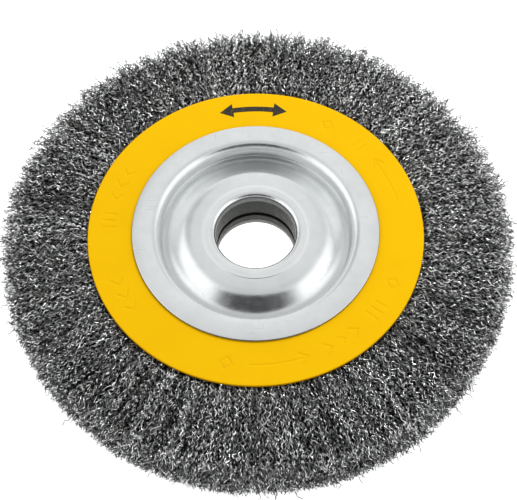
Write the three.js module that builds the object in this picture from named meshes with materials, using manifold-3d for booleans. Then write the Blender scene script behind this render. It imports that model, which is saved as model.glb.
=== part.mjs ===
// Circular brush of crimped steel wire for a bench grinder, 200 mm across.
// Millimetres, +Z up. The wheel lies flat with its arbor axis along Z and its
// origin on that axis, halfway between the two sides. The front side faces +Z.
import * as THREE from 'three';
import { mergeVertices } from 'three/addons/utils/BufferGeometryUtils.js';
import Module from 'manifold-3d';

const wasm = await Module();
wasm.setup();

// ---------------------------------------------------------------- driving sizes
const GAP = 0.25;               // clearance kept between pieces that touch

const WHEEL_RADIUS = 100;       // wire tips
const FACE_WIDTH = 25.2;        // width of the wire face at the rim
const FACE_CORNER = 3;          // how far the face's two corners are worn back
const BUNDLE_COUNT = 36;        // bundles of wire around the wheel

const PLATE_RADIUS = 66;        // painted side plates
const PLATE_HOLE_RADIUS = 42.6;
const PLATE_SHEET = 1.2;
const PLATE_EDGE = 0.35;        // bevel of the plate's outer edge
const BODY_WIDTH = 25.6;        // over the outer faces of the two side plates

const HUB_RADIUS = 48.6;        // pressed hub flanges
const HUB_SHEET = 0.8;
const DISH_RADIUS = 38.4;       // top of the dish wall, at the middle of the sheet
const DISH_FLOOR_RADIUS = 37.4; // bottom of the dish wall
const DISH_DEPTH = 6.6;         // dish floor below the side plate's outer face
const DOME_FOOT_RADIUS = 34.4;  // where the floor starts to rise to the dome
const DOME_TOP_RADIUS = 27.4;   // outer edge of the dome's flat top
const RIM_BEND = 3.1;           // bend from the flat rim into the dish
const FLOOR_BEND = 0.8;
const DOME_BEND = 2;

const BORE_RADIUS = 15.9;       // inside of the bushings that line the hub
const BUSH_WALL = 0.6;
const BUSH_BEND = 1.1;          // bend from the tube to its rolled-over lip
const BUSH_LIP_RADIUS = 21.2;
const BUSH_RECESS = 1.5;        // face of the lip below the side plate's outer face
const FRONT_BUSH_LENGTH = 12.7; // the front bushing's tube is the longer one
const BUSH_JOINT = 2.2;         // open joint between the two tubes

const SLEEVE_WALL = 1.6;        // spacer sleeve around the bushings

const RING_RADIUS = 46.4;       // retaining ring that the wires are folded over
const RING_WIRE_RADIUS = 2;
const FOLD_THICKNESS = 2;       // wires between the ring and the hub
const FOLD_HALF_WIDTH = 4;
const FOLD_FLARE = 7;           // distance in which the fold spreads to the plates

const WHEEL_SEGMENTS = 48;
const BORE_SEGMENTS = 36;

// ---------------------------------------------------------------- worked out from them
const plateFace = BODY_WIDTH / 2;
const plateBack = plateFace - PLATE_SHEET;
const hubRimMiddle = plateFace + GAP + HUB_SHEET / 2;
const dishFloorMiddle = plateFace - DISH_DEPTH - HUB_SHEET / 2;
const bushFace = plateFace - BUSH_RECESS;
const bushLipMiddle = bushFace - BUSH_WALL / 2;
const domeTopMiddle = bushLipMiddle - BUSH_WALL / 2 - GAP - HUB_SHEET / 2;
const bushMiddleRadius = BORE_RADIUS + BUSH_WALL / 2;
const aroundBushRadius = BORE_RADIUS + BUSH_WALL + GAP;
const rearBushLength = 2 * bushFace - FRONT_BUSH_LENGTH - BUSH_JOINT;

// ---------------------------------------------------------------- finishes
function finish(color, roughness, metalness) {
  return new THREE.MeshStandardMaterial({ color, roughness, metalness });
}

const yellowPaint = finish(0xf9c30e, 0.42, 0.1);
const zincPlate = finish(0xd6dade, 0.3, 0.95);
const oiledSteel = finish(0x4c4f4c, 0.45, 0.9);
const wireSteel = finish(0x6a6b6c, 0.4, 0.9);

// ---------------------------------------------------------------- helpers
// An open line through the given corners [radius, height, rounding].
function roundedLine(corners, divisions) {
  const path = new THREE.Path();
  path.moveTo(corners[0][0], corners[0][1]);
  for (let i = 1; i < corners.length; i += 1) {
    const [r, z, rounding] = corners[i];
    if (!rounding) {
      path.lineTo(r, z);
      continue;
    }
    const corner = new THREE.Vector2(r, z);
    const before = new THREE.Vector2(corners[i - 1][0], corners[i - 1][1]);
    const after = new THREE.Vector2(corners[i + 1][0], corners[i + 1][1]);
    const start = before.sub(corner).setLength(rounding).add(corner);
    const end = after.sub(corner).setLength(rounding).add(corner);
    path.lineTo(start.x, start.y);
    path.quadraticCurveTo(r, z, end.x, end.y);
  }
  return path.getPoints(divisions);
}

// The closed outline of sheet metal of one thickness along its middle line.
function sheetOutline(line, thickness) {
  const oneSide = [];
  const otherSide = [];
  line.forEach((point, i) => {
    const before = line[Math.max(i - 1, 0)];
    const after = line[Math.min(i + 1, line.length - 1)];
    const along = after.clone().sub(before).normalize();
    const across = new THREE.Vector2(-along.y, along.x).multiplyScalar(thickness / 2);
    oneSide.push(point.clone().add(across));
    otherSide.push(point.clone().sub(across));
  });
  return oneSide.concat(otherSide.reverse());
}

// Turns a closed outline in [radius, height] about Z, with its faces pointing out.
function turned(outline, segments) {
  const points = outline.slice();
  if (THREE.ShapeUtils.isClockWise(points)) {
    points.reverse();
  }
  points.push(points[0].clone());
  const geometry = new THREE.LatheGeometry(points, segments);
  geometry.rotateX(Math.PI / 2);
  return geometry;
}

// The same for a plain ring with a rectangular section.
function turnedRing(innerRadius, outerRadius, bottom, top, segments) {
  const corners = [[innerRadius, bottom], [outerRadius, bottom], [outerRadius, top], [innerRadius, top]];
  return turned(corners.map(([r, z]) => new THREE.Vector2(r, z)), segments);
}

// A shape given thickness evenly to both sides of its own plane.
function extruded(shape, depth, curveSegments) {
  const geometry = new THREE.ExtrudeGeometry(shape, { depth, bevelEnabled: false, curveSegments });
  geometry.translate(0, 0, -depth / 2);
  return geometry;
}

function toSolid(geometry) {
  const plain = geometry.clone();
  plain.deleteAttribute('normal');
  plain.deleteAttribute('uv');
  const merged = mergeVertices(plain);
  const vertProperties = new Float32Array(merged.attributes.position.array);
  const triVerts = new Uint32Array(merged.index.array);
  return new wasm.Manifold(new wasm.Mesh({ numProp: 3, vertProperties, triVerts }));
}

function toGeometry(solid) {
  const mesh = solid.getMesh();
  const geometry = new THREE.BufferGeometry();
  geometry.setAttribute('position', new THREE.BufferAttribute(mesh.vertProperties, 3));
  geometry.setIndex(new THREE.BufferAttribute(mesh.triVerts, 1));
  return geometry;
}

function addPiece(group, name, geometry, material) {
  const mesh = new THREE.Mesh(geometry, material.clone());
  mesh.name = name;
  group.add(mesh);
  return mesh;
}

// Takes a piece made for the front over to the rear, by half a turn about X.
function turnOver(mesh) {
  mesh.rotation.x = Math.PI;
}

// ---------------------------------------------------------------- side plates
// Flat painted washers of sheet steel that squeeze the wires between them.
function sidePlateGeometry() {
  const outline = [
    new THREE.Vector2(PLATE_HOLE_RADIUS, plateBack),
    new THREE.Vector2(PLATE_RADIUS, plateBack),
    new THREE.Vector2(PLATE_RADIUS, plateFace - PLATE_EDGE),
    new THREE.Vector2(PLATE_RADIUS - PLATE_EDGE, plateFace),
    new THREE.Vector2(PLATE_HOLE_RADIUS, plateFace),
  ];
  return turned(outline, WHEEL_SEGMENTS);
}

// ---------------------------------------------------------------- hub flanges
// Drawn sheet: a flat rim over the side plate, a dish, and a dome around the bore.
function hubFlangeGeometry() {
  const line = roundedLine([
    [HUB_RADIUS, hubRimMiddle],
    [DISH_RADIUS, hubRimMiddle, RIM_BEND],
    [DISH_FLOOR_RADIUS, dishFloorMiddle, FLOOR_BEND],
    [DOME_FOOT_RADIUS, dishFloorMiddle, DOME_BEND],
    [DOME_TOP_RADIUS, domeTopMiddle, DOME_BEND],
    [aroundBushRadius, domeTopMiddle],
  ], 2);
  return turned(sheetOutline(line, HUB_SHEET), WHEEL_SEGMENTS);
}

// ---------------------------------------------------------------- bushings
// A short tube that lines the bore, its outer end rolled over the hub flange.
function bushingGeometry(tubeLength) {
  const line = roundedLine([
    [bushMiddleRadius, bushFace - tubeLength],
    [bushMiddleRadius, bushLipMiddle, BUSH_BEND],
    [BUSH_LIP_RADIUS, bushLipMiddle],
  ], 4);
  return turned(sheetOutline(line, BUSH_WALL), BORE_SEGMENTS);
}

// ---------------------------------------------------------------- spacer sleeve
// Takes the clamping force from one hub flange to the other.
function spacerSleeveGeometry() {
  const halfLength = domeTopMiddle - HUB_SHEET / 2 - GAP;
  return turnedRing(aroundBushRadius, aroundBushRadius + SLEEVE_WALL, -halfLength, halfLength, BORE_SEGMENTS);
}

// ---------------------------------------------------------------- retaining ring
function retainingRingGeometry() {
  const section = new THREE.Path().absarc(RING_RADIUS, 0, RING_WIRE_RADIUS, 0, 2 * Math.PI);
  const outline = section.getPoints(4);
  outline.pop();
  return turned(outline, WHEEL_SEGMENTS);
}

// ---------------------------------------------------------------- wire bundles
// One bundle of wires folded over the retaining ring, seen from its flank:
// pinched around the ring, flat between the side plates, then free to the tips.
function bundleFlank() {
  const foldRadius = RING_RADIUS - RING_WIRE_RADIUS - FOLD_THICKNESS;
  const clamped = plateBack - GAP;
  const free = FACE_WIDTH / 2;
  const swell = 2.5;
  const upperHalf = [
    [foldRadius, FOLD_HALF_WIDTH],
    [foldRadius + FOLD_FLARE, clamped],
    [PLATE_RADIUS + GAP, clamped],
    [PLATE_RADIUS + swell, free],
    [WHEEL_RADIUS - FACE_CORNER, free],
    [WHEEL_RADIUS + GAP, free - FACE_CORNER],
  ];
  const lowerHalf = upperHalf.map(([r, z]) => [r, -z]).reverse();
  const corners = upperHalf.concat(lowerHalf);
  const flank = new THREE.Shape(corners.map(([r, z]) => new THREE.Vector2(r, z)));
  const ringClearance = 2 * GAP;
  flank.holes.push(
    new THREE.Path().absarc(RING_RADIUS, 0, RING_WIRE_RADIUS + ringClearance, 0, 2 * Math.PI),
  );
  return flank;
}

// The bundle's share of the wheel from above, with a narrow gap to its neighbours.
function bundleSector() {
  const innerRadius = RING_RADIUS - RING_WIRE_RADIUS - FOLD_THICKNESS - 1;
  const innerHalfAngle = Math.PI / BUNDLE_COUNT - GAP / 2 / innerRadius;
  const outerHalfAngle = Math.PI / BUNDLE_COUNT - GAP / 2 / WHEEL_RADIUS;
  const innerEnd = innerRadius * Math.cos(innerHalfAngle);
  const innerHalfWidth = innerRadius * Math.sin(innerHalfAngle);
  const sector = new THREE.Shape();
  sector.absarc(0, 0, WHEEL_RADIUS, -outerHalfAngle, outerHalfAngle);
  sector.lineTo(innerEnd, innerHalfWidth);
  sector.lineTo(innerEnd, -innerHalfWidth);
  return sector;
}

function wireBundleGeometry() {
  const span = 24;
  const height = FACE_WIDTH + 2;
  const flank = extruded(bundleFlank(), span, 4);
  flank.rotateX(Math.PI / 2);
  const sector = extruded(bundleSector(), height, 2);
  return toGeometry(toSolid(flank).intersect(toSolid(sector)));
}

// ---------------------------------------------------------------- the wheel
const wheel = new THREE.Group();

addPiece(wheel, 'front_side_plate', sidePlateGeometry(), yellowPaint);
turnOver(addPiece(wheel, 'rear_side_plate', sidePlateGeometry(), yellowPaint));

addPiece(wheel, 'front_hub_flange', hubFlangeGeometry(), zincPlate);
turnOver(addPiece(wheel, 'rear_hub_flange', hubFlangeGeometry(), zincPlate));

addPiece(wheel, 'front_bore_bushing', bushingGeometry(FRONT_BUSH_LENGTH), zincPlate);
turnOver(addPiece(wheel, 'rear_bore_bushing', bushingGeometry(rearBushLength), zincPlate));

addPiece(wheel, 'spacer_sleeve', spacerSleeveGeometry(), oiledSteel);
addPiece(wheel, 'wire_retaining_ring', retainingRingGeometry(), oiledSteel);

const bundleGeometry = wireBundleGeometry();
for (let i = 0; i < BUNDLE_COUNT; i += 1) {
  const name = `wire_bundle_${String(i + 1).padStart(2, '0')}`;
  const bundle = addPiece(wheel, name, bundleGeometry, wireSteel);
  bundle.rotation.z = (2 * Math.PI * i) / BUNDLE_COUNT;
}

export default wheel;
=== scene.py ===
"""Crimped wire wheel brush for a bench grinder: its finished surfaces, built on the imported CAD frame.

Metres. The wheel lies flat: +Z runs along the arbor axis towards the front side.
"""
import math

import bpy
import numpy as np
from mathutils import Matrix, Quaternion, Vector


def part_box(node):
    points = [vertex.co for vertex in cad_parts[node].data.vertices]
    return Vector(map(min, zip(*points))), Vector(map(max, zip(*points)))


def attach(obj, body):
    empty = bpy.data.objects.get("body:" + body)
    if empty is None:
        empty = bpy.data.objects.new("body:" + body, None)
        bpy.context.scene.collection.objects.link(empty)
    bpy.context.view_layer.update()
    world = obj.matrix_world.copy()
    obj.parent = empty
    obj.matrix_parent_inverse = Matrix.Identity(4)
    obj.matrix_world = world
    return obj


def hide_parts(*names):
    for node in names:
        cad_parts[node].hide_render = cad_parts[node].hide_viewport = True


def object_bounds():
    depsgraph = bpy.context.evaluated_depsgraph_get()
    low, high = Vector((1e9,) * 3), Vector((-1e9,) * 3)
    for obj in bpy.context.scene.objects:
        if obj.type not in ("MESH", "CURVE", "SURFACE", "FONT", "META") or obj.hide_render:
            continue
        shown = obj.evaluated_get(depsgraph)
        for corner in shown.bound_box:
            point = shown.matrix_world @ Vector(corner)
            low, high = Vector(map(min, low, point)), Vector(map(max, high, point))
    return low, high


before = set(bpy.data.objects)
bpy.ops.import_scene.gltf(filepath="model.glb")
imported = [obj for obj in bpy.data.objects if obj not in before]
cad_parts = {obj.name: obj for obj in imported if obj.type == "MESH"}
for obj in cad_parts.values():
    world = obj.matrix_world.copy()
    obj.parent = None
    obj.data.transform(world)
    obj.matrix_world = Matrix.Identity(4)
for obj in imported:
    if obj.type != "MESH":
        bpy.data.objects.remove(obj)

cad_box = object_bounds()
scene = bpy.context.scene
MM = 0.001

# ---------------------------------------------------------------- sizes, from the frame where it has them
plate_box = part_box("front_side_plate")
PLATE_RADIUS = plate_box[1].x
PLATE_FACE = plate_box[1].z
PLATE_BACK = plate_box[0].z
PLATE_HOLE = 42.6 * MM
PLATE_EDGE = 0.35 * MM

hub_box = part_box("front_hub_flange")
HUB_RADIUS = hub_box[1].x
HUB_SHEET = 0.8 * MM
RIM_MIDDLE = hub_box[1].z - HUB_SHEET / 2
FLOOR_MIDDLE = hub_box[0].z + HUB_SHEET / 2

bush_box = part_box("front_bore_bushing")
rear_bush_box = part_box("rear_bore_bushing")
BUSH_LIP = bush_box[1].x
BUSH_FACE = bush_box[1].z
BUSH_WALL = 0.6 * MM
LIP_SHEET = 0.3 * MM                             # the tube's wall thins where it is rolled over
DOME_TOP = BUSH_FACE - LIP_SHEET - 0.06 * MM
BORE_RADIUS = 15.9 * MM
HUB_END = BORE_RADIUS + BUSH_WALL + 1.1 * MM     # the hub's sheet stops here, under the rolled lip

# The hub's middle line, from outside in: where the rim bends, the wall, the floor and the dome.
RIM_BEND = 38.7 * MM
WALL_TOP = 37.9 * MM
FLOOR_RADIUS = 37.5 * MM
DOME_FOOT = 34.4 * MM
DOME_SHOULDER = 27.4 * MM
BEAD_HEIGHT = 1.7 * MM                           # of the small bead in the wall, over the floor

bundle_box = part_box("wire_bundle_01")
WHEEL_RADIUS = bundle_box[1].x
FACE_HALF = bundle_box[1].z
FLOOR = cad_box[0].z

BUNDLES = sorted(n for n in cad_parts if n.startswith("wire_bundle_"))


# ---------------------------------------------------------------- mesh helpers
def add_object(name, points, faces, materials, face_material=None):
    """A smooth-shaded mesh from a point array and a list of face arrays, each of one corner count."""
    mesh = bpy.data.meshes.new(name)
    corners = np.concatenate([f.ravel() for f in faces])
    sizes = np.concatenate([np.full(len(f), f.shape[1]) for f in faces])
    starts = np.concatenate([[0], np.cumsum(sizes)[:-1]])
    mesh.vertices.add(len(points))
    mesh.vertices.foreach_set("co", points.astype(np.float32).ravel())
    mesh.loops.add(len(corners))
    mesh.loops.foreach_set("vertex_index", corners.astype(np.int32))
    mesh.polygons.add(len(sizes))
    mesh.polygons.foreach_set("loop_start", starts.astype(np.int32))
    mesh.polygons.foreach_set("use_smooth", np.ones(len(sizes), bool))
    for material in materials:
        mesh.materials.append(material)
    if face_material is not None:
        mesh.polygons.foreach_set("material_index", face_material.astype(np.int32))
    mesh.update(calc_edges=True)
    made = bpy.data.objects.new(name, mesh)
    scene.collection.objects.link(made)
    return made


def rounded_line(corners, divisions=8):
    """An open line of [radius, height] points through corners of [radius, height, rounding]."""
    line = [np.array(corners[0][:2])]
    for before, corner, after in zip(corners, corners[1:], corners[2:]):
        middle, reach = np.array(corner[:2]), corner[2]
        back = np.array(before[:2]) - middle
        ahead = np.array(after[:2]) - middle
        start = middle + back / np.linalg.norm(back) * reach
        end = middle + ahead / np.linalg.norm(ahead) * reach
        for t in np.linspace(0, 1, divisions + 1):
            line.append((1 - t) ** 2 * start + 2 * t * (1 - t) * middle + t ** 2 * end)
    line.append(np.array(corners[-1][:2]))
    return np.array(line)


def sheet_outline(line, thickness, round_ends=(True, True)):
    """The closed outline of sheet metal along its middle line, its cut ends rounded where asked."""
    along = np.gradient(line, axis=0)
    along /= np.linalg.norm(along, axis=1)[:, None]
    across = np.stack([-along[:, 1], along[:, 0]], axis=1) * thickness / 2
    outline = list(line + across)
    for at, ahead, rounded in ((-1, 1, round_ends[1]), (0, -1, round_ends[0])):
        if rounded:
            for turn in np.linspace(math.pi / 2, -math.pi / 2, 7)[1:-1]:
                side = across[at] * ahead * math.sin(turn)
                out = along[at] * ahead * math.cos(turn) * thickness / 2
                outline.append(line[at] + side + out)
        if at == -1:
            outline += list((line - across)[::-1])
    return np.array(outline)


def ring_faces(rows, segments):
    """Quads of a closed grid that goes round both ways, wound outwards for an anticlockwise outline."""
    i, j = np.meshgrid(np.arange(rows), np.arange(segments), indexing="ij")
    here, ahead = i * segments, (i + 1) % rows * segments
    turn = (j + 1) % segments
    return np.stack([here + j, here + turn, ahead + turn, ahead + j], axis=-1).reshape(-1, 4)


def turned(name, outline, segments, materials, mirror=False, face_material=None, shape=None):
    """A closed outline of [radius, height] points turned about Z. shape moves the points, if given."""
    outline = np.array(outline)
    if mirror:
        outline = outline * [1, -1]
    r, z = outline.T
    if np.sum(r * np.roll(z, -1) - np.roll(r, -1) * z) < 0:
        outline = outline[::-1]
        r, z = outline.T
    angle = np.arange(segments) * 2 * math.pi / segments
    grid_r, grid_a = np.meshgrid(r, angle, indexing="ij")
    grid_z = np.repeat(z[:, None], segments, axis=1)
    if shape:
        grid_r, grid_z = shape(grid_r, grid_a, grid_z)
    points = np.stack([grid_r * np.cos(grid_a), grid_r * np.sin(grid_a), grid_z], axis=-1)
    faces = ring_faces(len(outline), segments)
    index = None
    if face_material:
        middle = (outline + np.roll(outline, -1, axis=0)) / 2
        index = np.repeat([face_material(*p) for p in middle], segments)
    made = add_object(name, points.reshape(-1, 3), [faces], materials, index)
    made.data.set_sharp_from_angle(angle=math.radians(38))
    return made


# ---------------------------------------------------------------- material helpers
class Nodes:
    """A material's node tree, with short calls for the nodes that the finishes use."""

    def __init__(self, name, **plain):
        self.material = bpy.data.materials.new(name)
        self.material.use_nodes = True
        self.tree = self.material.node_tree
        self.shader = self.tree.nodes["Principled BSDF"]
        for socket, value in plain.items():
            self.shader.inputs[socket.replace("_", " ")].default_value = value
        self.place = self.tree.nodes.new("ShaderNodeTexCoord").outputs["Object"]

    def add(self, kind, inputs=(), **settings):
        node = self.tree.nodes.new("ShaderNode" + kind)
        for key, value in settings.items():
            setattr(node, key, value)
        for key, value in dict(inputs).items():
            if isinstance(value, bpy.types.NodeSocket):
                self.tree.links.new(value, node.inputs[key])
            else:
                node.inputs[key].default_value = value
        return node

    def stretched(self, scale, turn=0.0):
        node = self.add("Mapping", {"Vector": self.place, "Scale": scale, "Rotation": (0, 0, turn)})
        return node.outputs["Vector"]

    def noise(self, size, detail=2.0, roughness=0.5, place=None):
        """Noise whose blotches are about size metres across."""
        inputs = {"Vector": place or self.place, "Scale": 1 / size,
                  "Detail": detail, "Roughness": roughness}
        return self.add("TexNoise", inputs).outputs["Fac"]

    def ramp(self, value, low, high, to_low=0.0, to_high=1.0):
        spread = {"Value": value, "From Min": low, "From Max": high, "To Min": to_low, "To Max": to_high}
        return self.add("MapRange", spread).outputs["Result"]

    def math(self, operation, a, b=0.0):
        node = self.add("Math", {0: a, 1: b}, operation=operation)
        return node.outputs[0]

    def mix(self, factor, a, b):
        node = self.add("Mix", data_type="RGBA")
        for key, value in ((0, factor), (6, a), (7, b)):
            if isinstance(value, bpy.types.NodeSocket):
                self.tree.links.new(value, node.inputs[key])
            else:
                node.inputs[key].default_value = value
        return node.outputs[2]

    def bump(self, height, strength, distance, over=None):
        inputs = {"Height": height, "Strength": strength, "Distance": distance}
        if over is not None:
            inputs["Normal"] = over
        return self.add("Bump", inputs).outputs["Normal"]

    def set(self, **sockets):
        for name, value in sockets.items():
            self.tree.links.new(value, self.shader.inputs[name.replace("_", " ")])
        return self.material


def radius_from_axis(n):
    """Distance from the arbor axis, as a shader value."""
    flat = n.add("VectorMath", {0: n.place, 1: (1, 1, 0)}, operation="MULTIPLY").outputs[0]
    return n.add("VectorMath", {0: flat}, operation="LENGTH").outputs["Value"]


def ring_mask(n, distance, inner, outer, inner_fade, outer_fade):
    """1 on a ring about the axis and 0 off it, fading in past inner and out past outer."""
    return n.math("MULTIPLY", n.ramp(distance, inner, inner + inner_fade),
                  n.ramp(distance, outer, outer + outer_fade, 1, 0))


# ---------------------------------------------------------------- finishes
def yellow_paint():
    n = Nodes("yellow_paint", Roughness=0.4, IOR=1.45)
    n.shader.inputs["Specular IOR Level"].default_value = 0.06
    cloud = n.ramp(n.noise(14 * MM, 3), 0.35, 0.7)
    colour = n.mix(n.math("MULTIPLY", cloud, 0.5), (0.82, 0.47, 0.001, 1), (0.78, 0.43, 0.001, 1))
    edge = n.ramp(radius_from_axis(n), PLATE_RADIUS - 0.5 * MM, PLATE_RADIUS)
    colour = n.mix(n.math("MULTIPLY", edge, 0.55), colour, (0.55, 0.25, 0.002, 1))
    specks = n.ramp(n.noise(0.5 * MM, 1), 0.72, 0.78)
    colour = n.mix(n.math("MULTIPLY", specks, 0.35), colour, (0.6, 0.3, 0.01, 1))
    rough = n.ramp(n.noise(3 * MM, 3), 0.3, 0.7, 0.34, 0.48)
    peel = n.bump(n.noise(0.9 * MM, 2), 0.12, 0.1 * MM)
    return n.set(Base_Color=colour, Roughness=rough, Normal=peel)


def zinc_plate():
    n = Nodes("zinc_plate", Metallic=1.0)
    cloud = n.ramp(n.noise(9 * MM, 4, 0.6), 0.3, 0.7)
    colour = n.mix(cloud, (0.80, 0.815, 0.81, 1), (0.875, 0.888, 0.882, 1))
    fine = n.noise(0.5 * MM, 2, 0.7)
    scratch_a = n.ramp(n.noise(1.0, 2, place=n.stretched((140, 3200, 400), 0.5)), 0.70, 0.76)
    scratch_b = n.ramp(n.noise(1.0, 2, place=n.stretched((2900, 160, 400), 0.2)), 0.71, 0.77)
    scratches = n.math("MAXIMUM", scratch_a, scratch_b)
    colour = n.mix(n.math("MULTIPLY", scratches, 0.3), colour, (0.42, 0.44, 0.46, 1))
    axis_distance = radius_from_axis(n)
    # Burnished under the clamp flange, painted shade in the floor's trough, rough where the wall was drawn.
    clamped = ring_mask(n, axis_distance, 19.9 * MM, BUSH_LIP, 0.3 * MM, 0.2 * MM)
    colour = n.mix(n.math("MULTIPLY", clamped, 0.8), colour, (0.94, 0.95, 0.945, 1))
    # Painted shade: the trough between the dome's foot and the wall is darkened.
    channel_shade = ring_mask(n, axis_distance, DOME_FOOT, FLOOR_RADIUS + 0.1 * MM, 1.0 * MM, 0.6 * MM)
    colour = n.mix(n.math("MULTIPLY", channel_shade, 0.3), colour, (0.42, 0.44, 0.45, 1))
    # Painted shadow: a dark line along the rim's outer edge, where it lies on the plate.
    rim_edge_shadow = n.ramp(axis_distance, HUB_RADIUS - 0.25 * MM, HUB_RADIUS - 0.12 * MM)
    colour = n.mix(n.math("MULTIPLY", rim_edge_shadow, 0.85), colour, (0.06, 0.058, 0.05, 1))
    rough = n.math("ADD", n.ramp(n.noise(4 * MM, 3), 0.3, 0.7, 0.17, 0.24),
                   n.ramp(fine, 0.3, 0.7, -0.02, 0.04))
    drawn = ring_mask(n, axis_distance, FLOOR_RADIUS - 1.9 * MM, RIM_BEND - 0.1 * MM, 1.0 * MM, 1.0 * MM)
    rough = n.math("ADD", rough, n.math("MULTIPLY", drawn, 0.15))
    grain = n.bump(fine, 0.7, 0.035 * MM)
    grain = n.bump(n.math("MULTIPLY", scratches, -1.0), 0.4, 0.03 * MM, grain)
    return n.set(Base_Color=colour, Roughness=rough, Normal=grain)


def bore_painted_shade():
    """Painted shade: near-black in the tube, lifted to a mid grey where the tube opens out."""
    n = Nodes("bore_painted_shade", Metallic=0.6)
    streak = n.ramp(n.noise(1.0, 3, place=n.stretched((60, 60, 1500))), 0.3, 0.7)
    colour = n.mix(streak, (0.027, 0.030, 0.024, 1), (0.044, 0.047, 0.038, 1))
    from_middle = n.math("ABSOLUTE", n.add("SeparateXYZ", {0: n.place}).outputs["Z"])
    # The painted shade gives way to mid grey near the tube's mouth.
    mouth = n.ramp(from_middle, BUSH_FACE - 4.0 * MM, BUSH_FACE - 3.6 * MM)
    colour = n.mix(mouth, colour, (0.22, 0.225, 0.22, 1))
    rough = n.ramp(n.noise(2 * MM, 3), 0.3, 0.7, 0.38, 0.55)
    return n.set(Base_Color=colour, Roughness=rough, Normal=n.bump(streak, 0.15, 0.03 * MM))


def dark_steel():
    n = Nodes("dark_steel", Metallic=0.9)
    cloud = n.ramp(n.noise(5 * MM, 4, 0.6), 0.3, 0.7)
    colour = n.mix(cloud, (0.03, 0.031, 0.03, 1), (0.06, 0.06, 0.058, 1))
    rough = n.ramp(n.noise(1.5 * MM, 3), 0.3, 0.7, 0.35, 0.5)
    return n.set(Base_Color=colour, Roughness=rough, Normal=n.bump(n.noise(0.6 * MM, 2), 0.2, 0.05 * MM))


def marking_ink():
    n = Nodes("marking_ink", Roughness=0.5)
    worn = n.ramp(n.noise(0.8 * MM, 3, 0.7), 0.56, 0.68)
    colour = n.mix(worn, (0.014, 0.011, 0.006, 1), (0.20, 0.11, 0.006, 1))
    rough = n.ramp(n.noise(1.2 * MM, 2), 0.3, 0.7, 0.45, 0.62)
    return n.set(Base_Color=colour, Roughness=rough)


def wire_steel(name, tone, roughness):
    """One tone of the wire steel, from painted shade to painted highlight, and drawing marks as a fine
    relief.
    """
    n = Nodes(name, Metallic=0.95, Roughness=roughness, Base_Color=(*tone, 1))
    marks = n.noise(0.25 * MM, 3, 0.6)
    relief = n.add("Displacement", {"Height": marks, "Midlevel": 0.5, "Scale": 0.02 * MM})
    n.tree.links.new(relief.outputs[0], n.tree.nodes["Material Output"].inputs["Displacement"])
    return n.material


def packed_wire():
    n = Nodes("packed_wire", Metallic=0.8, Roughness=0.6)
    strands = n.noise(0.7 * MM, 3, 0.6)
    # Near-black: painted shade between the outer wires, laid over the real inner mass.
    colour = n.mix(n.ramp(strands, 0.35, 0.65), (0.004, 0.004, 0.004, 1), (0.02, 0.02, 0.02, 1))
    return n.set(Base_Color=colour, Normal=n.bump(strands, 0.6, 0.3 * MM))


# ---------------------------------------------------------------- side plates
MARK_RADIUS = 57.8 * MM
MARK_HALF_WIDTH = 0.3 * MM
MARK_DEPTH = 0.2 * MM

CHEVRON = [[(-1.5, -2.4), (1.3, 0), (-1.5, 2.4)]]
BAR = [[(0, -2.4), (0, 2.4)]]
DIAMOND = [[(-2.2, 0), (0, 2.4), (2.2, 0), (0, -2.4), (-2.2, 0)]]
ARROW = [[(-11, 0), (11, 0)], [(7.6, 2.4), (11, 0), (7.6, -2.4)]]
PRESSED_MARKS = [
    *[(angle, CHEVRON) for angle in (152, 158, 164)],
    *[(angle, BAR) for angle in (172, 175, 178)],
    *[(angle, CHEVRON) for angle in (203, 209, 215)],
    (258, DIAMOND),
    (278, ARROW),
    *[(angle, CHEVRON) for angle in (297, 303, 309)],
    *[(angle, BAR) for angle in (318, 321, 324)],
    (334, DIAMOND),
    (22, ARROW),
    *[(angle, BAR) for angle in (40, 43)],
    (58, DIAMOND),
]


def distance_to_marks(radius, angle):
    """Distance from points of the plate's face to the nearest pressed stroke."""
    nearest = np.full(radius.shape, 1.0)
    for centre, strokes in PRESSED_MARKS:
        turn = (angle - math.radians(centre) + math.pi) % (2 * math.pi) - math.pi
        s, t = turn * MARK_RADIUS, radius - MARK_RADIUS
        for stroke in strokes:
            for (s0, t0), (s1, t1) in zip(stroke, stroke[1:]):
                ds, dt = (s1 - s0) * MM, (t1 - t0) * MM
                along = ((s - s0 * MM) * ds + (t - t0 * MM) * dt) / (ds * ds + dt * dt)
                along = np.clip(along, 0, 1)
                gap = np.hypot(s - s0 * MM - along * ds, t - t0 * MM - along * dt)
                nearest = np.minimum(nearest, gap)
    return nearest


def pressed_face(radius, angle, height):
    """Sinks the pressed strokes into the plate's outer face, and lets the sheet lie slightly uneven."""
    wave = 0.02 * MM * np.sin(3 * angle + 1.1) + 0.012 * MM * np.sin(7 * angle)
    sunk = np.clip((MARK_HALF_WIDTH + 0.18 * MM - distance_to_marks(radius, angle)) / (0.3 * MM), 0, 1)
    sunk = sunk * sunk * (3 - 2 * sunk)
    face = height > PLATE_FACE - PLATE_EDGE / 2
    return radius, height + np.where(face, wave - 0.02 * MM - MARK_DEPTH * sunk, 0)


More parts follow.
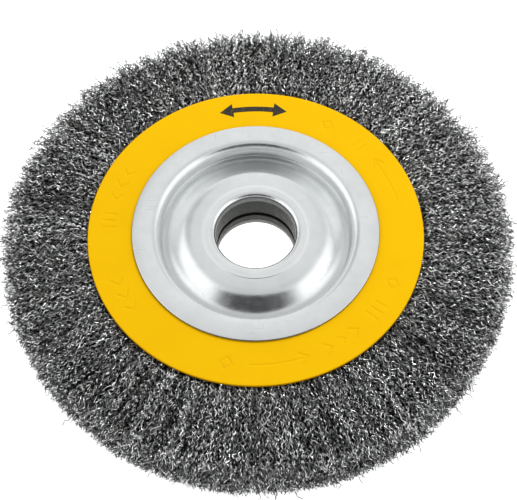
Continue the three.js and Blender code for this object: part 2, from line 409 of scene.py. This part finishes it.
def side_plate(name, node, paint, rear=False):
    edge = [(PLATE_RADIUS - PLATE_EDGE * (1 - math.sin(a)), PLATE_FACE - PLATE_EDGE * (1 - math.cos(a)))
            for a in np.linspace(math.pi / 2, 0, 6)]
    # Close rings across the band of pressed marks, so that their edges stay crisp.
    face = [(r, PLATE_FACE) for r in np.arange(62, 53.6, -0.24) * MM]
    outline = [(PLATE_HOLE, PLATE_BACK), (PLATE_RADIUS - 0.15 * MM, PLATE_BACK),
               (PLATE_RADIUS, PLATE_BACK + 0.15 * MM), *edge,
               (64.5 * MM, PLATE_FACE), (63 * MM, PLATE_FACE), *face,
               (50 * MM, PLATE_FACE), (PLATE_HOLE, PLATE_FACE)]
    plate = turned(name, outline, 1440, [paint], shape=pressed_face)
    if rear:
        turn_over(plate)
    finish_piece(plate, node)


def turn_over(piece):
    """Half a turn about X, in the mesh, takes a front piece to the rear."""
    piece.data.transform(Quaternion((1, 0, 0), math.pi).to_matrix().to_4x4())


def finish_piece(piece, node):
    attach(piece, "root")
    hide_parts(node)


# ---------------------------------------------------------------- hub flanges
def hub_outline():
    """Flat rim, a wide bend into the dish, a small bead in its wall, and the dome around the bore."""
    bead = FLOOR_MIDDLE + BEAD_HEIGHT
    dome_middle = DOME_TOP - HUB_SHEET / 2
    line = rounded_line([
        (HUB_RADIUS - HUB_SHEET / 2, RIM_MIDDLE - 0.12 * MM),
        (HUB_RADIUS - 2.2 * MM, RIM_MIDDLE, 1.6 * MM),
        (RIM_BEND, RIM_MIDDLE, 3.1 * MM),
        (WALL_TOP + 0.35 * MM, bead + 0.45 * MM, 0.3 * MM),
        (WALL_TOP, bead, 0.25 * MM),
        (FLOOR_RADIUS, FLOOR_MIDDLE, 0.45 * MM),
        (DOME_FOOT, FLOOR_MIDDLE, 2.6 * MM),
        (DOME_SHOULDER, dome_middle - 0.42 * MM, 2.2 * MM),
        (BUSH_LIP + 0.2 * MM, dome_middle, 0.8 * MM),
        (HUB_END, dome_middle),
    ])
    return sheet_outline(line, HUB_SHEET, (True, False))


def drawn_sheet(radius, angle, height):
    """Slight unevenness that drawing leaves in the sheet."""
    wave = np.sin(2 * angle + 0.4) * 0.012 + np.sin(5 * angle + 2.0) * 0.008
    return radius, height + wave * MM * np.clip((radius - 20 * MM) / (20 * MM), 0, 1)


def hub_flange(name, node, zinc, mirror=False):
    flange = turned(name, hub_outline(), 288, [zinc], mirror=mirror, shape=drawn_sheet)
    finish_piece(flange, node)


# ---------------------------------------------------------------- bushings
def bushing(name, node, tube_end, zinc, dark, mirror=False):
    """A tube that lines the bore; its end is rolled over the hub and thins towards the lip's edge."""
    inner, outer = BORE_RADIUS, BORE_RADIUS + BUSH_WALL
    under = BUSH_FACE - LIP_SHEET
    seen = rounded_line([
        (inner, tube_end + 0.3 * MM),
        (inner, BUSH_FACE, 2.5 * MM),
        (19.8 * MM, BUSH_FACE, 0.6 * MM),
        (BUSH_LIP, BUSH_FACE - 0.08 * MM, 0.08 * MM),
        (BUSH_LIP, under + 0.06 * MM),
    ], 10)
    hidden = rounded_line([
        (BUSH_LIP - 0.06 * MM, under),
        (outer, under, 1.4 * MM),
        (outer, tube_end),
    ])
    outline = [*seen, *hidden, (inner + 0.3 * MM, tube_end)]

    # The tube's inside takes the bore's painted shade.
    def inside_tube(r, z):
        return int(r < inner + 1.0 * MM and abs(z) < BUSH_FACE - 0.9 * MM)

    piece = turned(name, outline, 192, [zinc, dark], mirror=mirror, face_material=inside_tube)
    finish_piece(piece, node)


# ---------------------------------------------------------------- printed arrow
def printed_arrow(ink):
    """Double-headed rotation arrow printed on the front plate, as a thin raised film."""
    half, head, shaft_half, head_half, film = 14.0 * MM, 5.5 * MM, 1.2 * MM, 3.4 * MM, 0.05 * MM
    columns = [(-half, 0.0), (-half + head, head_half), (-half + head, shaft_half)]
    columns += [(s, shaft_half) for s in np.linspace(-half + head, half - head, 25)[1:-1]]
    columns += [(half - head, shaft_half), (half - head, head_half), (half, 0.0)]
    points = []
    for level in (PLATE_FACE - film, PLATE_FACE + film):
        for side in (-1, 1):
            for s, width in columns:
                r, a = MARK_RADIUS + side * max(width, 0.05 * MM), math.pi / 2 - s / MARK_RADIUS
                points.append((r * math.cos(a), r * math.sin(a), level))
    count = len(columns)
    rows = [0, count, 3 * count, 2 * count]
    faces = []
    for a, b in zip(rows, rows[1:] + rows[:1]):
        faces += [(a + i, a + i + 1, b + i + 1, b + i) for i in range(count - 1)]
    faces += [tuple(rows), tuple(r + count - 1 for r in rows[::-1])]
    arrow = add_object("front_rotation_arrow", np.array(points), [np.array(faces)], [ink])
    arrow.data.set_sharp_from_angle(angle=math.radians(30))
    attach(arrow, "root")


# ---------------------------------------------------------------- wires
WIRE_RADIUS = 0.16 * MM
CRIMP_LENGTH = (2.4 * MM, 3.2 * MM)
CRIMP_HEIGHT = (0.32 * MM, 0.62 * MM)
TUFT_ANGLE = math.radians(2.0)
TUFT_WIDTH = 3.4 * MM
# Each bundle's layers: number of wires, start radius, depth range, points along a wire, and whether
# the layer keeps to that range near the surface or runs from its start to the middle.
WIRE_LAYERS = [
    (136, 64.5 * MM, (0.1 * MM, 2.2 * MM), 84, True),
    (110, 65 * MM, (1.8 * MM, 5.0 * MM), 44, True),
    (200, 86 * MM, (3.0 * MM, 0), 18, False),
]
# Shaded and lit copies of the wire steel: painted shade for troughs and deeper wires, painted highlights
# for crests; the last tone is a browned wire's.
WIRE_TONES = [
    ("wire_steel_black", (0.005, 0.005, 0.005), 0.45),
    ("wire_steel_shaded", (0.034, 0.035, 0.035), 0.40),
    ("wire_steel_grey", (0.13, 0.132, 0.131), 0.37),
    ("wire_steel_plain", (0.35, 0.354, 0.352), 0.35),
    ("wire_steel_bright", (0.90, 0.906, 0.902), 0.33),
    ("wire_steel_brown", (0.13, 0.12, 0.105), 0.40),
]
TONE_LIMITS = [-0.98, -0.52, 0.1, 0.78]
TONE_LIFT = 0.05
SHADE_DEPTH = 3.2 * MM                             # painted shade: going in this far darkens a wire by one unit of tone
TIP_SHADE_FADE = (92 * MM, 98 * MM)                    # the radii over which the painted shade of deeper wires fades out towards the tips
BROWN_SHARE = 0.06

# Slow waves as (strength, turns along the free length): sideways, up and down, crimp phase and plane, tone.
SIDE_WAVES = [(0.8 * MM, 1.3), (0.5 * MM, 3.1), (0.25 * MM, 6.1)]
RISE_WAVES = [(0.5 * MM, 1.6), (0.5 * MM, 3.7), (0.3 * MM, 6.7)]
PITCH_WAVES = [(1.0, 2.2), (0.5, 5.0)]
PLANE_WAVES = [(0.5, 1.7), (0.35, 4.1)]
TONE_WAVES = [(0.45, 4.1), (0.55, 8.3), (0.75, 17.0)]

# Each tuft's own crimp phase, rise, length and lean, by column around the rim and row across its face.
tuft_table = np.random.default_rng(11).uniform(-1, 1, (4, 180, 12))

wires_only = bpy.data.collections.new("wires_only")   # some lamps light these alone


def face_height(radius):
    """Half width of the wire pack: held between the side plates, and a little wider past them."""
    held = PLATE_BACK - 0.35 * MM
    spread = np.clip((radius - PLATE_RADIUS - 0.2 * MM) / (3.0 * MM), 0, 1)
    return held + (FACE_HALF - held) * spread * spread * (3 - 2 * spread)


def slow_waves(rng, count, place, sizes_and_turns):
    """A sum of slow sine waves for each wire, with its own strength and phase for each."""
    total = 0
    for strength, turns in sizes_and_turns:
        phase = rng.uniform(0, 2 * math.pi, (count, 1))
        size = rng.normal(0, strength, (count, 1))
        total = total + size * np.sin(2 * math.pi * turns * place + phase)
    return total


def wire_paths(rng, centre, half, count, start, depth_range, samples, surface):
    """Crimped wires' middle lines, by wire, sample and x y z, and the tone of each step along them."""
    place = (np.arange(count) // 2 + rng.uniform(0, 1, count)) / (count / 2)
    angle = centre + half * (2 * place - 1)
    side = np.where(np.arange(count) % 2 == 0, -1.0, 1.0)
    depth = rng.uniform(*depth_range, count) if surface else rng.uniform(depth_range[0], FACE_HALF, count)
    level = side * (1 - depth / FACE_HALF)

    # Neighbours lean together into tufts towards their tips.
    column = np.floor(angle / TUFT_ANGLE).astype(int)
    row = np.clip(((level + 1) * FACE_HALF / TUFT_WIDTH).astype(int), 0, tuft_table.shape[2] - 1)
    tuft_turn, tuft_rise, tuft_length, tuft_lean = tuft_table[:, column % tuft_table.shape[1], row]
    to_centre = ((column + 0.5) * TUFT_ANGLE - angle) * WHEEL_RADIUS
    # One part of the rim is less worn down: its wires lie more in line and their tips are less even.
    fresh = 0.5 + 0.5 * np.cos(angle - math.radians(85))
    tangle = 1 - 0.78 * fresh
    gather = rng.uniform(0.0, 0.3, count) + 0.3 * fresh
    lean = to_centre * gather + tuft_lean * 0.5 * MM + rng.normal(0, 1.9 * MM, count) * tangle
    rise = tuft_rise * 0.5 * MM + rng.normal(0, 0.35 * MM, count)
    worn = 0.7 * np.clip(np.abs(level) * FACE_HALF - (FACE_HALF - 3 * MM), 0, None)
    off_centre = -0.8 * np.cos(angle - math.radians(170))
    tip = WHEEL_RADIUS - worn + (off_centre - 0.5 + 0.5 * fresh + tuft_length * (0.6 + 1.4 * fresh)) * MM
    tip = tip + rng.normal(0, 1, count) * (0.45 + 1.7 * fresh) * MM
    stray = rng.uniform(size=count) < 0.015 + 0.075 * fresh
    tip = tip + stray * rng.uniform(0.5, 3.4, count) * MM
    lean = lean + stray * rng.normal(0, 2.2 * MM, count)

    t = np.linspace(0, 1, samples)[None, :]
    radius = start + (tip[:, None] - start) * t
    out = (radius - start) / (WHEEL_RADIUS - start)
    sideways = lean[:, None] * out ** 1.6 + slow_waves(rng, count, out, SIDE_WAVES)
    upwards = rise[:, None] * out ** 1.5 + slow_waves(rng, count, out, RISE_WAVES)

    # The crimp: a wave whose plane and pitch wander along the wire.
    length = rng.uniform(*CRIMP_LENGTH, count)[:, None]
    size = rng.uniform(*CRIMP_HEIGHT, count)[:, None] * (1 + slow_waves(rng, count, out, [(0.25, 4.3)]))
    turn = 2 * math.pi * radius / length + (tuft_turn * 2.0 + rng.normal(0, 2.0, count) * tangle)[:, None]
    turn = turn + slow_waves(rng, count, out, PITCH_WAVES)
    plane = (rng.normal(0, 0.9, count) * tangle)[:, None] + slow_waves(rng, count, out, PLANE_WAVES)
    wave = size * np.sin(turn)
    sideways = sideways + wave * np.cos(plane)
    upwards = upwards + wave * np.sin(plane)

    height = level[:, None] * face_height(radius) + upwards
    limit = np.where(radius < PLATE_RADIUS + 0.4 * MM, PLATE_BACK - 0.22 * MM, FACE_HALF + 0.9 * MM)
    height = np.clip(height, -limit, limit)
    a = angle[:, None]
    x = radius * np.cos(a) - sideways * np.sin(a)
    y = radius * np.sin(a) + sideways * np.cos(a)

    # Painted highlights on crests; painted shade in troughs and on deeper wires, fading out towards the
    # tips; each wire's random tone and slow tone waves come on top.
    crest = side[:, None] * wave * np.sin(plane) / (0.7 * MM) + rng.normal(0, 0.45, count)[:, None]
    tip_fade = np.clip((radius - TIP_SHADE_FADE[0]) / (TIP_SHADE_FADE[1] - TIP_SHADE_FADE[0]), 0, 1)
    behind = depth[:, None] * (1 - 0.94 * tip_fade) / SHADE_DEPTH
    crest = crest + slow_waves(rng, count, out, TONE_WAVES) - behind + TONE_LIFT
    tone = np.digitize(crest, TONE_LIMITS)
    brown = rng.uniform(size=(count, 1)) < BROWN_SHARE
    tone = np.where(brown & (tone > 0) & (tone < 4), len(TONE_LIMITS) + 1, tone)
    return np.stack([x, y, height], axis=-1), tone


def tubes(paths, spin):
    """Closed three-sided tubes along middle lines, as points, side quads and end triangles."""
    count, samples = paths.shape[:2]
    along = np.gradient(paths, axis=1)
    along /= np.linalg.norm(along, axis=2)[..., None]
    first = np.cross(along, [0.0, 0.0, 1.0])
    first /= np.linalg.norm(first, axis=2)[..., None]
    second = np.cross(along, first)
    corners = []
    for k in range(3):
        turn = (spin + k * 2 * math.pi / 3)[:, None, None]
        corners.append(paths + WIRE_RADIUS * (np.cos(turn) * first + np.sin(turn) * second))
    points = np.stack(corners, axis=2)
    wire, ring, corner = np.meshgrid(np.arange(count), np.arange(samples - 1), np.arange(3), indexing="ij")
    base, turn = (wire * samples + ring) * 3, (corner + 1) % 3
    quads = np.stack([base + corner, base + turn, base + 3 + turn, base + 3 + corner], axis=-1)
    start = np.arange(count)[:, None] * samples * 3
    root_ends = start + [2, 1, 0]
    tip_ends = start + (samples - 1) * 3 + [0, 1, 2]
    return points.reshape(-1, 3), quads.reshape(-1, 4), np.concatenate([root_ends, tip_ends])


def wire_bundle(node, index, tones):
    rng = np.random.default_rng(500 + index)
    centre = index * 2 * math.pi / len(BUNDLES)
    half = math.pi / len(BUNDLES)
    layers = [wire_paths(rng, centre, half, *layer) for layer in WIRE_LAYERS]
    points, quads, ends, shades = [], [], [], []
    used = 0
    for paths, tone in layers:
        p, q, e = tubes(paths, rng.uniform(0, 2, len(paths)))
        points.append(p)
        quads.append(q + used)
        ends.append(e + used)
        shades.append((np.repeat(tone[:, :-1], 3), np.concatenate([tone[:, 0], tone[:, -1]])))
        used += len(p)
    shade = np.concatenate([s[0] for s in shades] + [s[1] for s in shades])
    piece = add_object(node + "_wires", np.concatenate(points),
                       [np.concatenate(quads), np.concatenate(ends)], tones, shade)
    wires_only.objects.link(piece)
    finish_piece(piece, node)


def packed_core(material):
    """The wires' inner mass, coloured near-black as painted shade, seen only as darkness between the outer
    ones.
    """
    outline = [(50 * MM, 9.8 * MM), (66 * MM, 9.8 * MM),
               *[(r, 8.6 * MM) for r in np.linspace(67, 86, 20) * MM],
               (91 * MM, 8.0 * MM), (93 * MM, 6.5 * MM)]
    outline = outline + [(r, -z) for r, z in outline[::-1]]

    def rough(radius, angle, height):
        comb = np.sin(angle * 420 + 3 * np.sin(radius / MM * 1.9)) * np.sin(radius / MM * 2.1 + angle * 37)
        return radius, height + np.sign(height) * comb * 0.4 * MM * (radius > 66.5 * MM)

    core = turned("packed_wire_core", outline, 1440, [material], shape=rough)
    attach(core, "root")


# ---------------------------------------------------------------- stage: floor, light and camera
LAMP_DISTANCE = 0.9


def pale_floor():
    n = Nodes("pale_floor", Roughness=0.9)
    n.shader.inputs["Base Color"].default_value = (0.85, 0.85, 0.85, 1)
    n.shader.inputs["Emission Color"].default_value = (1, 1, 1, 1)
    n.shader.inputs["Emission Strength"].default_value = 0.85
    reach = 3.0
    points = np.array([(-reach, -reach, FLOOR), (reach, -reach, FLOOR),
                       (reach, reach, FLOOR), (-reach, reach, FLOOR)])
    floor = add_object("floor", points, [np.array([[0, 1, 2, 3]])], [n.material])


def direction(azimuth, elevation):
    """Unit vector; azimuth 0 is +X and 90 is +Y, in degrees."""
    a, e = math.radians(azimuth), math.radians(elevation)
    return math.cos(e) * math.cos(a), math.cos(e) * math.sin(a), math.sin(e)


def area_lamp(name, toward, size, energy, receivers=None):
    """A square lamp LAMP_DISTANCE from the wheel, in the direction of an azimuth and an elevation."""
    light = bpy.data.lights.new(name, "AREA")
    light.shape, light.size, light.size_y, light.energy = "RECTANGLE", size, size, energy
    lamp = bpy.data.objects.new(name, light)
    lamp.location = Vector(direction(*toward)) * LAMP_DISTANCE
    lamp.rotation_euler = (-lamp.location).to_track_quat("-Z", "Y").to_euler()
    scene.collection.objects.link(lamp)
    if receivers is not None:
        lamp.light_linking.receiver_collection = receivers
    return lamp


def studio_light():
    """A bright tent with a soft box on each side, and a dark opening on the camera's side."""
    world = bpy.data.worlds.new("studio")
    scene.world = world
    world.use_nodes = True
    tree = world.node_tree
    nodes, links = tree.nodes, tree.links
    background = nodes["Background"]
    toward = nodes.new("ShaderNodeTexCoord").outputs["Generated"]

    def lobe(azimuth, elevation, inner, outer):
        dot = nodes.new("ShaderNodeVectorMath")
        dot.operation = "DOT_PRODUCT"
        links.new(toward, dot.inputs[0])
        dot.inputs[1].default_value = direction(azimuth, elevation)
        spread = nodes.new("ShaderNodeMapRange")
        spread.interpolation_type = "SMOOTHSTEP"
        links.new(dot.outputs["Value"], spread.inputs["Value"])
        spread.inputs["From Min"].default_value = math.cos(math.radians(outer))
        spread.inputs["From Max"].default_value = math.cos(math.radians(inner))
        return spread.outputs["Result"]

    def mixed(factor, below, colour):
        node = nodes.new("ShaderNodeMix")
        node.data_type = "RGBA"
        links.new(factor, node.inputs[0])
        if isinstance(below, tuple):
            node.inputs[6].default_value = below
        else:
            links.new(below, node.inputs[6])
        node.inputs[7].default_value = colour
        return node.outputs[2]

    sky = mixed(lobe(-90, 15, 35, 75), (0.90, 0.91, 0.915, 1), (0.62, 0.63, 0.64, 1))
    sky = mixed(lobe(0, 90, 5, 32), sky, (0.64, 0.65, 0.66, 1))
    sky = mixed(lobe(128, 42, 8, 24), sky, (0.56, 0.57, 0.58, 1))
    sky = mixed(lobe(52, 42, 8, 24), sky, (0.74, 0.75, 0.76, 1))
    sky = mixed(lobe(188, 25, 22, 48), sky, (1.27, 1.28, 1.29, 1))
    sky = mixed(lobe(-17, 25, 22, 46), sky, (1.27, 1.28, 1.29, 1))
    for azimuth, elevation in ((-91, 54), (-111, 50), (-73, 50)):
        sky = mixed(lobe(azimuth, elevation, 11, 27), sky, (0.06, 0.06, 0.065, 1))
    links.new(sky, background.inputs["Color"])

    area_lamp("key", (48, 55), 0.35, 4.2).visible_glossy = False
    # The rest light the wires alone and put nothing in the hub: a small spot for glints, and a low
    # fill on each side that reaches the tips around the rim's edge.
    area_lamp("spark", (75, 62), 0.14, 9.0, wires_only)
    for name, azimuth in (("fill_left", 224), ("fill_right", -44)):
        area_lamp(name, (azimuth, 16), 0.4, 2.0, wires_only).visible_camera = False


def plate_camera():
    """Looks down at the plate from 60 degrees, from about twice the wheel's width away."""
    distance, elevation = 417.3 * MM, math.radians(60.1)
    centre = Vector((0, 0, PLATE_FACE))
    aim = centre + Vector((0.96 * MM, -9.66 * MM, 0))
    data = bpy.data.cameras.new("camera")
    data.lens, data.sensor_width = 73.9, 36.0
    data.clip_start, data.clip_end = 0.01, 20.0
    camera = bpy.data.objects.new("camera", data)
    camera.location = centre + distance * Vector((0, -math.cos(elevation), math.sin(elevation)))
    level = (aim - camera.location).to_track_quat("-Z", "Y")
    camera.rotation_mode = "QUATERNION"
    camera.rotation_quaternion = level @ Quaternion((0, 0, 1), math.radians(-0.91))
    scene.collection.objects.link(camera)
    scene.camera = camera


# ---------------------------------------------------------------- the wheel
plate_camera()
pale_floor()
studio_light()
scene.view_settings.view_transform = "Standard"

paint, zinc, bore, ink = yellow_paint(), zinc_plate(), bore_painted_shade(), marking_ink()
side_plate("front_plate_painted", "front_side_plate", paint)
side_plate("rear_plate_painted", "rear_side_plate", paint, rear=True)
hub_flange("front_flange_drawn", "front_hub_flange", zinc)
hub_flange("rear_flange_drawn", "rear_hub_flange", zinc, mirror=True)
bushing("front_bushing_rolled", "front_bore_bushing", bush_box[0].z, zinc, bore)
bushing("rear_bushing_rolled", "rear_bore_bushing", -rear_bush_box[1].z, zinc, bore, mirror=True)
printed_arrow(ink)
packed_core(packed_wire())
wire_materials = [wire_steel(*tone) for tone in WIRE_TONES]
for i, bundle in enumerate(BUNDLES):
    wire_bundle(bundle, i, wire_materials)

hidden_steel = dark_steel()
for inner in ("spacer_sleeve", "wire_retaining_ring"):
    for material_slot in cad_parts[inner].material_slots:
        material_slot.material = hidden_steel
